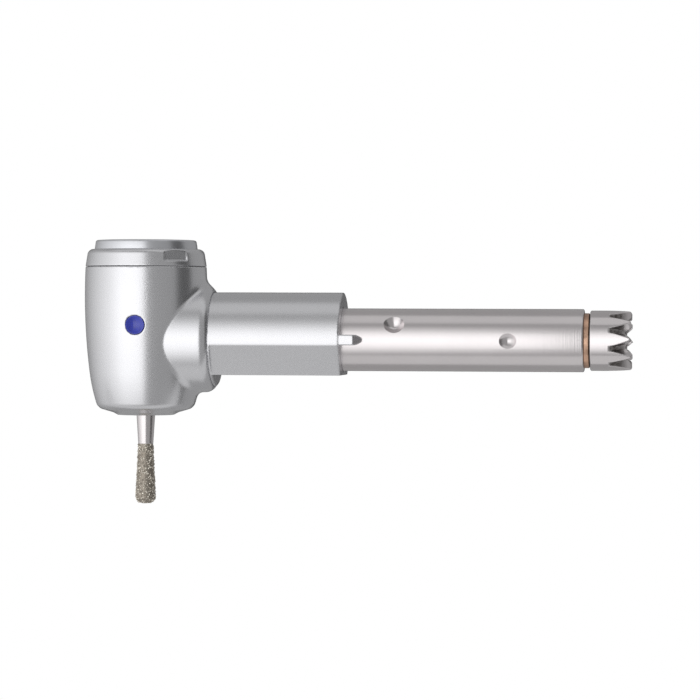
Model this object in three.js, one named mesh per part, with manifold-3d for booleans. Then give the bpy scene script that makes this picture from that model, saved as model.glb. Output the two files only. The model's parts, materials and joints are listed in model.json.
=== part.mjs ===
// A right-angle dental handpiece head with a push-button chuck, a diamond bur and its drive train.
// Millimetres, +Z up. The origin is on the drive axis, in the rear face of the neck sleeve, where the
// head seats in its handpiece. +X runs along the shank tube to the coupling, and the bur points down.
import * as THREE from "three";
import { mergeVertices } from "three/addons/utils/BufferGeometryUtils.js";
import Module from "manifold-3d";

const wasm = await Module();
wasm.setup();

// Sides of a full turn, and the gaps between pieces.
const OUTER_SIDES = 32;
const INNER_SIDES = 18;
const BALL_SIDES = 8;
const FIXED_GAP = 0.02;
const RUNNING_GAP = 0.05;

// Head casing and back cap: heights are from the drive axis.
const HEAD_X = -17.35;
const SEAM_Z = 6.26;
const NOSE_Z = -6.6;
const BELLY = { radius: 5.315, z: 3.8, arc: 52.8 };
const BASE_CORNER = { radius: 3.25, z: -4.97, round: 1.235 };
const NOSE_RADIUS = 2.42;
const CAP = { top: 7.79, shoulder: 5.09, corner: 0.43, mouth: 4.52, floor: 5.22 };
const THREAD_RADIUS = 4.42;
const NOTCH = { width: 2.3, depth: 0.34, low: 6.75, turns: [-49, 131] };

// Push button and its spring.
const BUTTON = { top: 8.59, disc: 7.45, skirt: 6.12, radius: 4.48, skirtRadius: 3.66, skirtBore: 3.15 };
const SPRING = { radius: 2.72, wire: 0.16, low: 5.44, turns: 3 };

// Chuck, its bearings and the bur.
const SPINDLE = { radius: 1.48, shoulder: 1.58, bore: 1.17, low: -6.3, high: 5.6 };
const BEARING = { bore: 1.5, outer: 3.0, width: 2, pitch: 2.25, ball: 0.48, balls: 7 };
const BEARINGS = { upper: 4.1, lower: -4.7 };
const BUR = { radius: 0.8, top: 4.63, neck: -6.7, step: -9.1, waist: 0.67, core: 0.5, tip: -14.37 };

// Neck: a boss on the casing, a sleeve with flats, and the tube that plugs into the handpiece.
const BOSS = { radius: 4.61, reach: 6.26, round: 0.8 };
const SLEEVE = { radius: 4.06, start: -12.7, flatsStart: -11.09, underFlat: 3.06, sideFlat: 3.78 };
const SIDE_FLAT_TILT = 27.7;
const TONGUE = { half: 0.45, reach: 1.25, lead: 0.58, inner: 2.95 };
const TUBE = { radius: 2.7, bore: 1.9, start: -13.65, end: 20.75 };
const DIMPLES = [
  { x: 4.6, radius: 0.89, depth: 0.62, up: 30 },
  { x: 14.35, radius: 0.72, depth: 0.5, up: -1 },
];

// Drive: bevel gears of equal size, the shaft and the toothed coupling.
const GEAR = { teeth: 14, pitch: 2.45, face: 0.24, slack: 0.05 };
const SHAFT = { radius: 1.2, journal: 1.0, start: -15.25, shoulder: -14.05, end: 22.6 };
const CLIP_GROOVE = { front: -10.7, rear: -10.4 };
const BUSHES = { front: -13.9, frontEnd: -10.9, rear: 21.2, rearEnd: 17.65 };
const CROWN = { radius: 2.575, bore: 1.85, start: 21.27, socket: 22.65, root: 22.86, end: 24.95, teeth: 10 };
const CROWN_GAP = 0.38;
const SCREW_HEAD = { radius: 1.42, hexagon: 0.8, end: 24.2 };

const degrees = THREE.MathUtils.degToRad;

// ---- Finishes ----

function finish(color, roughness, metalness = 1) {
  return new THREE.MeshStandardMaterial({ color, roughness, metalness });
}

const satinSteel = finish(0xc4c5c9, 0.38);
const polishedSteel = finish(0xd2d0ce, 0.2);
const hardSteel = finish(0xa9abad, 0.25);
const springSteel = finish(0x8f9194, 0.3);
const bronze = finish(0xb0825c, 0.35);
const blackRubber = finish(0x1d1d1f, 0.7, 0);
const cagePolymer = finish(0x7a5a34, 0.6, 0);
const blueEnamel = finish(0x3238a6, 0.25, 0);
const diamondGrit = finish(0x9a9186, 0.55, 0.6);

// ---- Shape helpers ----

// Points [radius, height] along an arc of an outline, from one angle to another in degrees.
function arc(radius, height, round, from, to, steps) {
  return Array.from({ length: steps + 1 }, (_, i) => {
    const a = degrees(from + ((to - from) * i) / steps);
    return [radius + round * Math.cos(a), height + round * Math.sin(a)];
  });
}

// An outline of [radius, height] turned about Z. It starts and ends on the axis, or closes on itself.
function turned(outline, sides = INNER_SIDES) {
  const points = outline.map(([r, h]) => new THREE.Vector2(r, h));
  if (THREE.ShapeUtils.area(points) < 0) points.reverse();
  if (points[0].x > 0 || points.at(-1).x > 0) points.push(points[0].clone());
  return new THREE.LatheGeometry(points, sides).rotateX(Math.PI / 2);
}

// A plain ring about Z.
function ring(inner, outer, low, high, sides = INNER_SIDES) {
  return turned([[inner, low], [outer, low], [outer, high], [inner, high]], sides);
}

// A plain round bar about Z.
function bar(radius, low, high, sides = INNER_SIDES) {
  return turned([[0, low], [radius, low], [radius, high], [0, high]], sides);
}

// A box given by its centre and size.
function block(centre, size) {
  return new THREE.BoxGeometry(...size).translate(...centre);
}

// A geometry along Z, laid along X instead.
function alongX(geometry) {
  return geometry.rotateY(Math.PI / 2);
}

// A closed geometry as a solid that can be joined and cut.
function solid(geometry) {
  const bare = geometry.clone();
  bare.deleteAttribute("normal");
  bare.deleteAttribute("uv");
  const merged = mergeVertices(bare, 1e-4);
  const corners = [...merged.index.array];
  const whole = [];
  for (let i = 0; i < corners.length; i += 3) {
    const [a, b, c] = corners.slice(i, i + 3);
    if (a !== b && b !== c && a !== c) whole.push(a, b, c);
  }
  return new wasm.Manifold(
    new wasm.Mesh({
      numProp: 3,
      vertProperties: new Float32Array(merged.attributes.position.array),
      triVerts: new Uint32Array(whole),
    }),
  );
}

// A solid as a geometry again.
function geometryOf(made) {
  const mesh = made.getMesh();
  const geometry = new THREE.BufferGeometry();
  geometry.setAttribute("position", new THREE.BufferAttribute(mesh.vertProperties, 3));
  geometry.setIndex(new THREE.BufferAttribute(mesh.triVerts, 1));
  geometry.computeVertexNormals();
  return geometry;
}

// One body less others.
function cut(body, ...tools) {
  return geometryOf(tools.reduce((rest, tool) => rest.subtract(solid(tool)), solid(body)));
}

function piece(name, geometry, material, place = () => {}) {
  const mesh = new THREE.Mesh(geometry, material);
  mesh.name = name;
  place(mesh);
  return mesh;
}

// ---- Casing, cap and button, about the head's own axis ----

function bellyRadius(z) {
  return BELLY.radius - (z - BELLY.z) ** 2 / (2 * BELLY.arc);
}

function casingOutline() {
  const cornerTop = BASE_CORNER.z + 0.05;
  const heights = [-3.6, -2.2, -0.6, 1.4, 3.8, 5.2, SEAM_Z - 0.06];
  return [
    [0, NOSE_Z],
    [NOSE_RADIUS, NOSE_Z],
    [2.84, -6.38],
    ...arc(BASE_CORNER.radius, BASE_CORNER.z, BASE_CORNER.round, -82, -6, 6),
    ...heights.filter((z) => z > cornerTop).map((z) => [bellyRadius(z), z]),
    [bellyRadius(SEAM_Z) - 0.06, SEAM_Z],
    [0, SEAM_Z],
  ];
}

function casingCavity() {
  const upperSeat = BEARINGS.upper - BEARING.width / 2;
  const lowerSeat = BEARINGS.lower + BEARING.width / 2 + 0.05;
  return turned([
    [0, NOSE_Z - 1],
    [1.98, NOSE_Z - 1],
    [1.98, -6.25],
    [2.4, -6.25],
    [2.4, -5.75],
    [BEARING.outer + FIXED_GAP, -5.75],
    [BEARING.outer + FIXED_GAP, lowerSeat],
    [3.3, lowerSeat],
    [3.3, 2.8],
    [2.75, 2.8],
    [2.75, upperSeat],
    [BEARING.outer + FIXED_GAP, upperSeat],
    [BEARING.outer + FIXED_GAP, 4.95],
    [THREAD_RADIUS + RUNNING_GAP, 4.95],
    [THREAD_RADIUS + RUNNING_GAP, SEAM_Z + 1],
    [0, SEAM_Z + 1],
  ], OUTER_SIDES);
}

function headCasing() {
  const bossOutline = [
    [0, 0],
    [BOSS.radius, 0],
    ...arc(BOSS.radius - BOSS.round, BOSS.reach - BOSS.round, BOSS.round, 0, 90, 4),
    [0, BOSS.reach],
  ];
  const body = solid(turned(casingOutline(), OUTER_SIDES)).add(
    solid(alongX(turned(bossOutline, OUTER_SIDES))),
  );
  const tubeBore = alongX(bar(TUBE.radius + 0.04, 2, BOSS.reach + 1, OUTER_SIDES));
  const sleeveSocket = alongX(
    bar(SLEEVE.radius + 0.03, SLEEVE.start - HEAD_X - RUNNING_GAP, BOSS.reach + 1, OUTER_SIDES),
  );
  const dotPocket = bar(0.83, 4.78, 6, 20).rotateX(Math.PI / 2).translate(0, 0, 1.23);
  return geometryOf(
    body
      .subtract(solid(casingCavity()))
      .subtract(solid(tubeBore))
      .subtract(solid(sleeveSocket))
      .subtract(solid(dotPocket)),
  );
}

function backCap() {
  const outline = [
    [2.3, CAP.floor],
    [THREAD_RADIUS, CAP.floor],
    [THREAD_RADIUS, SEAM_Z + 0.01],
    [bellyRadius(SEAM_Z) - 0.06, SEAM_Z + 0.01],
    [bellyRadius(SEAM_Z), SEAM_Z + 0.07],
    ...arc(CAP.shoulder - CAP.corner, CAP.top - CAP.corner, CAP.corner, 8, 90, 4),
    [CAP.mouth, CAP.top],
    [CAP.mouth, 6.8],
    [BUTTON.skirtRadius + 0.05, 6.8],
    [BUTTON.skirtRadius + 0.05, 6.42],
    [3.98, 6.42],
    [3.98, CAP.floor + 0.2],
    [2.3, CAP.floor + 0.2],
  ];
  const notches = NOTCH.turns.map((turn) =>
    block([5.25 - NOTCH.depth + 0.5, 0, NOTCH.low + 1], [1, NOTCH.width, 2]).rotateZ(degrees(turn)),
  );
  return cut(turned(outline, OUTER_SIDES), ...notches);
}

function pushButton() {
  return turned([
    [0, BUTTON.disc],
    [BUTTON.skirtBore, BUTTON.disc],
    [BUTTON.skirtBore, BUTTON.skirt],
    [BUTTON.skirtRadius, BUTTON.skirt],
    [BUTTON.skirtRadius, BUTTON.skirt + 0.08],
    [3.42, BUTTON.skirt + 0.08],
    [3.42, BUTTON.skirt + 0.29],
    [BUTTON.skirtRadius, BUTTON.skirt + 0.29],
    [BUTTON.skirtRadius, BUTTON.disc],
    [BUTTON.radius, BUTTON.disc],
    [BUTTON.radius, 7.5],
    [4.16, 7.5],
    [4.16, 7.74],
    [BUTTON.radius, 7.74],
    [4.38, 8.38],
    [4.32, 8.52],
    [4.18, BUTTON.top],
    [3.7, BUTTON.top],
    [3.5, BUTTON.top - 0.06],
    [0, BUTTON.top - 0.06],
  ], OUTER_SIDES);
}

// The return spring: a round wire wound about Z.
class Helix extends THREE.Curve {
  getPoint(t, target = new THREE.Vector3()) {
    const turn = 2 * Math.PI * SPRING.turns * t;
    const rise = BUTTON.disc - SPRING.low - 2 * SPRING.wire - 0.04;
    return target.set(
      SPRING.radius * Math.cos(turn),
      SPRING.radius * Math.sin(turn),
      SPRING.low + SPRING.wire + 0.02 + rise * t,
    );
  }
}

function returnSpring() {
  const section = new THREE.Shape();
  section.absarc(0, 0, SPRING.wire, 0, 2 * Math.PI);
  return new THREE.ExtrudeGeometry(section, {
    steps: 14 * SPRING.turns,
    curveSegments: 3,
    extrudePath: new Helix(),
  });
}

// A body of the button: the button with its clip, seal and the pin that opens the chuck.
function buttonParts() {
  const seal = turned(arc(4.335, 7.62, 0.11, 0, 300, 5), OUTER_SIDES);
  const clip = ring(3.44, 3.93, BUTTON.skirt + 0.09, BUTTON.skirt + 0.28, OUTER_SIDES);
  const pin = turned([
    [0, 6.3],
    [0.45, 6.3],
    [0.85, 6.7],
    [0.85, BUTTON.disc - 0.01],
    [0, BUTTON.disc - 0.01],
  ]);
  return [
    piece("push_button", pushButton(), polishedSteel),
    piece("button_clip", clip, springSteel),
    piece("button_o_ring", seal, blackRubber),
    piece("release_pin", pin, hardSteel),
  ];
}

// ---- Ball bearings and chuck, about the head's own axis ----

const GROOVE = BEARING.ball + 0.03;

// Half the groove's opening as an angle, where the ball's track meets a race at that radius.
function grooveAngle(raceRadius) {
  return THREE.MathUtils.radToDeg(Math.acos(Math.abs(raceRadius - BEARING.pitch) / GROOVE));
}

function innerRace() {
  const land = 1.9;
  const open = grooveAngle(land);
  const half = BEARING.width / 2;
  return turned([
    [BEARING.bore, -half],
    [land, -half],
    ...arc(BEARING.pitch, 0, GROOVE, 180 + open, 180 - open, 4),
    [land, half],
    [BEARING.bore, half],
  ]);
}

function outerRace() {
  const land = 2.6;
  const open = grooveAngle(land);
  const half = BEARING.width / 2;
  return turned([
    [BEARING.outer, -half],
    [land, -half],
    ...arc(BEARING.pitch, 0, GROOVE, -open, open, 4),
    [land, half],
    [BEARING.outer, half],
  ], OUTER_SIDES);
}

function ballPlace(index) {
  const turn = (2 * Math.PI * index) / BEARING.balls;
  return [BEARING.pitch * Math.cos(turn), BEARING.pitch * Math.sin(turn), 0];
}

function ballCage() {
  const pockets = Array.from({ length: BEARING.balls }, (_, i) =>
    new THREE.SphereGeometry(BEARING.ball + 0.04, BALL_SIDES, BALL_SIDES / 2 + 1).translate(...ballPlace(i)),
  );
  return cut(ring(2.06, 2.46, -0.66, 0.66), ...pockets);
}

function bearing(name, height) {
  const group = new THREE.Group();
  group.position.z = height;
  group.add(piece(`${name}_inner_race`, innerRace(), hardSteel));
  group.add(piece(`${name}_outer_race`, outerRace(), hardSteel));
  group.add(piece(`${name}_ball_cage`, ballCage(), cagePolymer));
  for (let i = 0; i < BEARING.balls; i += 1) {
    const ball = new THREE.SphereGeometry(BEARING.ball, BALL_SIDES, BALL_SIDES / 2 + 1);
    group.add(piece(`${name}_ball_${i + 1}`, ball, polishedSteel, (m) => m.position.set(...ballPlace(i))));
  }
  return group;
}

function chuckSpindle() {
  return turned([
    [SPINDLE.bore, SPINDLE.low],
    [SPINDLE.radius, SPINDLE.low],
    [SPINDLE.radius, -1.45],
    [SPINDLE.shoulder, -1.45],
    [SPINDLE.shoulder, 3.08],
    [SPINDLE.radius, 3.08],
    [SPINDLE.radius, SPINDLE.high - 0.1],
    [SPINDLE.radius - 0.1, SPINDLE.high],
    [0.98, SPINDLE.high],
    [0.98, 5.3],
    [SPINDLE.bore, 5.3],
  ]);
}

function collet() {
  const body = turned([
    [BUR.radius + FIXED_GAP, SPINDLE.low],
    [SPINDLE.bore - 0.03, SPINDLE.low],
    [SPINDLE.bore - 0.03, 5.1],
    [0.95, 5.25],
    [BUR.radius + FIXED_GAP, 5.25],
  ]);
  const slots = [0, 60, 120].map((turn) =>
    block([0, 0, SPINDLE.low + 2.4], [4, 0.18, 5]).rotateZ(degrees(turn + 30)),
  );
  return cut(body, ...slots);
}

function chuckParts() {
  const group = new THREE.Group();
  const gearSeat = BEARINGS.lower + BEARING.width / 2;
  group.add(piece("chuck_spindle", chuckSpindle(), hardSteel));
  group.add(piece("chuck_collet", collet(), polishedSteel));
  group.add(piece("spindle_clip", ring(1.5, 1.98, 5.12, 5.2), springSteel));
  group.add(piece("spindle_nut", ring(1.5, 1.9, -6.3, -5.72), hardSteel));
  group.add(piece("gear_shim", ring(1.52, 1.88, gearSeat + 0.01, gearSeat + 0.08), bronze));
  group.add(
    piece("spindle_gear", bevelGear(BEARING.bore, 2.0, 3.6), hardSteel, (m) => {
      m.rotation.x = Math.PI;
      m.rotation.z = Math.PI / GEAR.teeth;
    }),
  );
  return group;
}

function burParts() {
  const shank = turned([
    [0, BUR.tip + 0.5],
    [BUR.core, BUR.tip + 0.5],
    [BUR.core, BUR.step],
    [BUR.waist, BUR.step],
    [BUR.radius, BUR.neck],
    [BUR.radius, BUR.top - 0.12],
    [BUR.radius - 0.12, BUR.top],
    [0, BUR.top],
  ]);
  const coat = turned([
    [BUR.core + FIXED_GAP, BUR.step - 0.01],
    [BUR.waist + 0.02, BUR.step - 0.01],
    [0.72, -10.3],
    [0.8, -12],
    [0.885, -13.3],
    ...arc(0.43, -13.91, 0.46, 0, -90, 4),
    [0, BUR.tip],
    [0, BUR.tip + 0.48],
    [BUR.core + FIXED_GAP, BUR.tip + 0.48],
  ]);
  return [
    piece("bur_shank", shank, polishedSteel),
    piece("bur_diamond_coating", coat, diamondGrit),
  ];
}

function headParts() {
  const group = new THREE.Group();
  group.position.x = HEAD_X;
  const dot = turned([[0, 4.8], [0.8, 4.8], [0.8, 5.19], [0.62, 5.26], [0, 5.28]], 20);
  group.add(piece("head_casing", headCasing(), satinSteel));
  group.add(piece("back_cap", backCap(), satinSteel));
  group.add(
    piece("colour_dot", dot, blueEnamel, (m) => {
      m.rotation.x = Math.PI / 2;
      m.position.z = 1.23;
    }),
  );
  group.add(piece("preload_washer", ring(2.62, 2.98, 5.12, 5.2), springSteel));
  group.add(piece("nose_seal", ring(1.95, 2.37, -6.22, -5.8), blackRubber));
  group.add(piece("return_spring", returnSpring(), springSteel));
  group.add(...buttonParts());
  group.add(bearing("upper", BEARINGS.upper));
  group.add(bearing("lower", BEARINGS.lower));
  group.add(chuckParts());
  group.add(...burParts());
  return group;
}

// ---- Bevel gear: its apex at the origin and its back towards +Z ----

// One tooth as [radius, height, angle] on the back cone: an involute on the cone's developed circle.
function toothOutline() {
  const tilt = Math.PI / 4;
  const module = (2 * GEAR.pitch) / GEAR.teeth;
  const pitch = GEAR.pitch / Math.cos(tilt);
  const base = pitch * Math.cos(degrees(20));
  const involute = (r) => {
    const a = Math.acos(Math.min(1, base / r));
    return Math.tan(a) - a;
  };
  const halfTooth = ((Math.PI / 2) * Math.cos(tilt)) / GEAR.teeth - GEAR.slack / 2 / pitch;
  const reaches = [pitch - 1.2 * module, base, pitch, pitch + 0.55 * module, pitch + module];
  const flank = reaches.map((r) => {
    const turn = (halfTooth + involute(pitch) - involute(r)) / Math.cos(tilt);
    const rise = r - pitch;
    return [GEAR.pitch + rise * Math.cos(tilt), GEAR.pitch - rise * Math.sin(tilt), turn];
  });
  return [...flank.map(([r, h, a]) => [r, h, -a]), ...flank.reverse()];
}

function bevelGear(bore, hubRadius, hubEnd) {
  const tooth = toothOutline();
  const outline = Array.from({ length: GEAR.teeth }, (_, i) =>
    tooth.map(([r, h, a]) => [r, h, a + (2 * Math.PI * i) / GEAR.teeth]),
  ).flat();
  const [rootRadius, rootHeight] = tooth[0];
  const small = 1 - GEAR.face;
  // Rings of points from the middle of the small end, over the teeth, to the middle of the large end.
  const rings = [
    outline.map(([, , a]) => [small * rootRadius - 0.03, small * rootHeight, a]),
    outline.map(([r, h, a]) => [small * r, small * h, a]),
    outline,
    outline.map(([, , a]) => [rootRadius - 0.03, rootHeight + 0.03, a]),
  ];
  const positions = rings.flat().flatMap(([r, h, a]) => [r * Math.cos(a), r * Math.sin(a), h]);
  const count = outline.length;
  const first = positions.length / 3;
  positions.push(0, 0, small * rootHeight, 0, 0, rootHeight + 0.03);
  const faces = [];
  for (let i = 0; i < count; i += 1) {
    const j = (i + 1) % count;
    faces.push(first, j, i);
    for (let k = 0; k < rings.length - 1; k += 1) {
      const low = k * count;
      const high = low + count;
      faces.push(low + i, low + j, high + j, low + i, high + j, high + i);
    }
    const last = (rings.length - 1) * count;
    faces.push(first + 1, last + i, last + j);
  }
  const toothed = new THREE.BufferGeometry();
  toothed.setAttribute("position", new THREE.Float32BufferAttribute(positions, 3));
  toothed.setIndex(faces);
  const hub = solid(bar(hubRadius, rootHeight - 0.2, hubEnd));
  return geometryOf(solid(toothed).add(hub).subtract(solid(bar(bore, 0, hubEnd + 1))));
}

// ---- Neck and drive, about the drive axis: local Z is the part's X, and local X points down ----

function neckSleeve() {
  const end = SLEEVE.radius + 1;
  const body = solid(bar(SLEEVE.radius, SLEEVE.start, 0, OUTER_SIDES));
  const middle = (SLEEVE.flatsStart + 1) / 2;
  const length = 1 - SLEEVE.flatsStart;
  const underFlat = block([SLEEVE.underFlat + end / 2, 0, middle], [end, 12, length]);
  const sideFlats = [-1, 1].map((side) =>
    block([0, side * (SLEEVE.sideFlat + end / 2), middle], [12, end, length])
      .rotateZ(side * degrees(-SIDE_FLAT_TILT)),
  );
  // Each tongue is a slice of the sleeve's wall with a lead-in at its end.
  const tongues = [-1, 1].map((side) => {
    const shape = new THREE.Shape();
    shape.moveTo(-0.5, TONGUE.inner);
    shape.lineTo(TONGUE.reach + TONGUE.lead, TONGUE.inner);
    shape.lineTo(TONGUE.reach, SLEEVE.radius - 0.03);
    shape.lineTo(-0.5, SLEEVE.radius - 0.03);
    shape.closePath();
    const flat = new THREE.ExtrudeGeometry(shape, { depth: 2 * TONGUE.half, bevelEnabled: false });
    flat.translate(0, 0, -TONGUE.half).rotateY(-Math.PI / 2);
    return side > 0 ? flat : flat.rotateZ(Math.PI);
  });
  const flats = [underFlat, ...sideFlats].reduce((rest, tool) => rest.subtract(solid(tool)), body);
  const joined = tongues.reduce((whole, tongue) => whole.add(solid(tongue)), flats);
  return geometryOf(joined.subtract(solid(bar(TUBE.radius + 0.04, SLEEVE.start - 1, 4, OUTER_SIDES))));
}

// A cone that drills a locating dimple into the tube, on one side or the other.
function dimpleCutter({ x, radius, depth, up }, side) {
  const reach = 0.8;
  const cone = turned([[0, -depth], [radius * (1 + reach / depth), reach], [0, reach]], 16);
  cone.rotateX(Math.PI / 2).translate(0, -TUBE.radius, 0);
  cone.rotateZ(degrees(-up));
  if (side > 0) cone.scale(1, -1, 1);
  const turnedIn = side > 0 ? flipped(cone) : cone;
  return turnedIn.translate(0, 0, x);
}

// Turns every face round, as a mirrored geometry needs.
function flipped(geometry) {
  const index = geometry.index.array;
  for (let i = 0; i < index.length; i += 3) [index[i + 1], index[i + 2]] = [index[i + 2], index[i + 1]];
  return geometry;
}

function shankTube() {
  const body = turned([
    [TUBE.bore, TUBE.start],
    [TUBE.radius - 0.15, TUBE.start],
    [TUBE.radius, TUBE.start + 0.15],
    [TUBE.radius, TUBE.end - 0.12],
    [TUBE.radius - 0.12, TUBE.end],
    [TUBE.bore, TUBE.end],
  ], OUTER_SIDES);
  const cutters = DIMPLES.flatMap((dimple) => [-1, 1].map((side) => dimpleCutter(dimple, side)));
  return cut(body, ...cutters);
}

function bush(flangeRadius, flangeStart, flangeEnd, bodyEnd) {
  const bore = SHAFT.radius + RUNNING_GAP;
  const body = TUBE.bore - FIXED_GAP;
  return turned([
    [bore, flangeStart],
    [flangeRadius, flangeStart],
    [flangeRadius, flangeEnd],
    [body, flangeEnd],
    [body, bodyEnd],
    [bore, bodyEnd],
  ], OUTER_SIDES);
}

function driveShaft() {
  return turned([
    [0, SHAFT.start],
    [SHAFT.journal, SHAFT.start],
    [SHAFT.journal, SHAFT.shoulder],
    [SHAFT.radius, SHAFT.shoulder],
    [SHAFT.radius, CLIP_GROOVE.front],
    [SHAFT.journal, CLIP_GROOVE.front],
    [SHAFT.journal, CLIP_GROOVE.rear],
    [SHAFT.radius, CLIP_GROOVE.rear],
    [SHAFT.radius, SHAFT.end],
    [0.55, SHAFT.end],
    [0.55, SHAFT.end - 2.2],
    [0, SHAFT.end - 2.2],
  ]);
}

// The gap between two coupling teeth, seen from outside, cut through the wall along local X.
function crownGap(turn) {
  const pitch = (2 * Math.PI * CROWN.radius) / CROWN.teeth;
  const length = CROWN.end - CROWN.root;
  const toothHalf = (pitch - CROWN_GAP) / 2;
  const edge = Array.from({ length: 6 }, (_, i) => {
    const t = i / 5;
    return [pitch / 2 - toothHalf * (1 - t ** 1.25), CROWN.root + length * t];
  });
  const shape = new THREE.Shape();
  shape.moveTo(-edge[0][0], edge[0][1]);
  edge.forEach(([half, z]) => shape.lineTo(half, z));
  shape.lineTo(pitch / 2, CROWN.end + 0.5);
  shape.lineTo(-pitch / 2, CROWN.end + 0.5);
  [...edge].reverse().forEach(([half, z]) => shape.lineTo(-half, z));
  const prism = new THREE.ExtrudeGeometry(shape, { depth: 2.4, bevelEnabled: false });
  return prism.rotateX(Math.PI / 2).translate(0, -0.9, 0).rotateZ(turn);
}

function crownCoupling() {
  const body = turned([
    [SHAFT.radius + FIXED_GAP, CROWN.start],
    [CROWN.radius - 0.12, CROWN.start],
    [CROWN.radius, CROWN.start + 0.12],
    ...arc(CROWN.radius - 0.35, CROWN.end - 0.4, 0.35, 0, 80, 4),
    [1.95, CROWN.end],
    [CROWN.bore, CROWN.end - 0.1],
    [CROWN.bore, CROWN.socket],
    [SHAFT.radius + FIXED_GAP, CROWN.socket],
  ], 4 * CROWN.teeth);
  const pitchAngle = (2 * Math.PI) / CROWN.teeth;
  const gaps = Array.from({ length: CROWN.teeth }, (_, i) =>
    crownGap(degrees(2.6) + pitchAngle * (i + 0.5)),
  );
  return cut(body, ...gaps);
}

function couplingScrew() {
  const body = turned([
    [0, SHAFT.end - 2],
    [0.5, SHAFT.end - 2],
    [0.5, CROWN.socket + 0.02],
    [SCREW_HEAD.radius, CROWN.socket + 0.02],
    [SCREW_HEAD.radius, SCREW_HEAD.end - 0.12],
    [SCREW_HEAD.radius - 0.12, SCREW_HEAD.end],
    [0, SCREW_HEAD.end],
  ], 24);
  return cut(body, bar(SCREW_HEAD.hexagon, SCREW_HEAD.end - 0.9, SCREW_HEAD.end + 1, 6));
}

function neckParts() {
  const group = new THREE.Group();
  group.rotation.y = Math.PI / 2;
  group.add(piece("neck_sleeve", neckSleeve(), satinSteel));
  group.add(piece("shank_tube", shankTube(), polishedSteel));
  group.add(piece("front_bush", bush(2.5, BUSHES.front, TUBE.start - FIXED_GAP, BUSHES.frontEnd), bronze));
  group.add(piece("rear_bush", bush(2.35, BUSHES.rear, TUBE.end + FIXED_GAP / 2, BUSHES.rearEnd), bronze));
  group.add(piece("thrust_shim", ring(SHAFT.radius + FIXED_GAP, 1.75, BUSHES.front - 0.12, BUSHES.front - 0.03), bronze));
  group.add(piece("shaft_clip", ring(SHAFT.journal + FIXED_GAP, 1.6, CLIP_GROOVE.front + 0.04, CLIP_GROOVE.rear - 0.06), springSteel));
  group.add(piece("drive_shaft", driveShaft(), hardSteel));
  group.add(
    piece("drive_gear", bevelGear(SHAFT.journal + FIXED_GAP, 1.6, 3.3), hardSteel, (m) => {
      m.position.z = HEAD_X;
    }),
  );
  group.add(piece("crown_coupling", crownCoupling(), polishedSteel));
  group.add(piece("coupling_screw", couplingScrew(), hardSteel));
  return group;
}

const handpieceHead = new THREE.Group();
handpieceHead.add(headParts(), neckParts());

export default handpieceHead;
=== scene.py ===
"""Finished pieces for a right-angle dental handpiece head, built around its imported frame.

Pieces are in metres, and outlines and fields are in millimetres. The drive axis is the X axis, the head's
own axis stands on it at HEAD_X, and the bur points down.
"""

import json
import math

import bpy
import numpy as np
from mathutils import Matrix, Vector


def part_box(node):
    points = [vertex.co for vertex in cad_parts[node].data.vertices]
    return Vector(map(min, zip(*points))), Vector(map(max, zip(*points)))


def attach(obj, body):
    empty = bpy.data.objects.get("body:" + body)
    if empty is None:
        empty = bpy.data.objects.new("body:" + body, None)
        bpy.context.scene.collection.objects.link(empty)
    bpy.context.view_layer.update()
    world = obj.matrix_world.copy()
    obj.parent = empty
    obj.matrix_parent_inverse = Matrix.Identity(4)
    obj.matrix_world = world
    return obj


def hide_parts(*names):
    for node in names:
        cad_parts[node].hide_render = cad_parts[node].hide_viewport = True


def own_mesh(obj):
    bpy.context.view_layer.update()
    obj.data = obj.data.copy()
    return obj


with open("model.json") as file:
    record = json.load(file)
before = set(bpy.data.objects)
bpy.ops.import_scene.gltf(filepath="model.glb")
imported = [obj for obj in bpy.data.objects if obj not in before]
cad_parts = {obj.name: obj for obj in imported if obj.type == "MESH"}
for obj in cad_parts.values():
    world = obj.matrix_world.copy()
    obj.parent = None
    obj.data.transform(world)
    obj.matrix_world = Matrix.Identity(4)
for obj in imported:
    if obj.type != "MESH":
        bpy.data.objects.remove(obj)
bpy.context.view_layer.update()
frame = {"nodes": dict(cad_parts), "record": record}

bl_info = {
    "name": "Right-Angle Handpiece Head",
    "version": (1, 0, 0),
    "blender": (4, 5, 0),
    "location": "View3D > Sidebar > Handpiece",
    "description": "Builds the finished pieces of a dental handpiece head around its frame",
    "category": "Object",
}

MM = 0.001


def span(node):
    """The lowest and highest corner of a frame node, in millimetres."""
    low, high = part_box(node)
    return low / MM, high / MM


# Places that the frame gives, in millimetres.
CASING_LOW, CASING_HIGH = span("head_casing")
CAP_LOW, CAP_HIGH = span("back_cap")
BUTTON_LOW, BUTTON_HIGH = span("push_button")
SLEEVE_LOW, SLEEVE_HIGH = span("neck_sleeve")
TUBE_LOW, TUBE_HIGH = span("shank_tube")
BUSH_LOW, BUSH_HIGH = span("rear_bush")
CROWN_LOW, CROWN_HIGH = span("crown_coupling")
SHANK_LOW, SHANK_HIGH = span("bur_shank")
SCREW_LOW, SCREW_HIGH = span("coupling_screw")
SPRING_LOW, SPRING_HIGH = span("return_spring")
HEAD_X = (CAP_LOW.x + CAP_HIGH.x) / 2


# ---- Sizes and colours that a user would change ----


def length(name, millimetres, description):
    return bpy.props.FloatProperty(
        name=name, description=description, default=millimetres * MM, unit="LENGTH", precision=6
    )


def share(name, value, description):
    return bpy.props.FloatProperty(
        name=name, description=description, default=value, min=0, max=1, subtype="FACTOR"
    )


def colour(name, value, description):
    return bpy.props.FloatVectorProperty(
        name=name, description=description, default=value, min=0, max=1, size=3, subtype="COLOR"
    )


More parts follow.
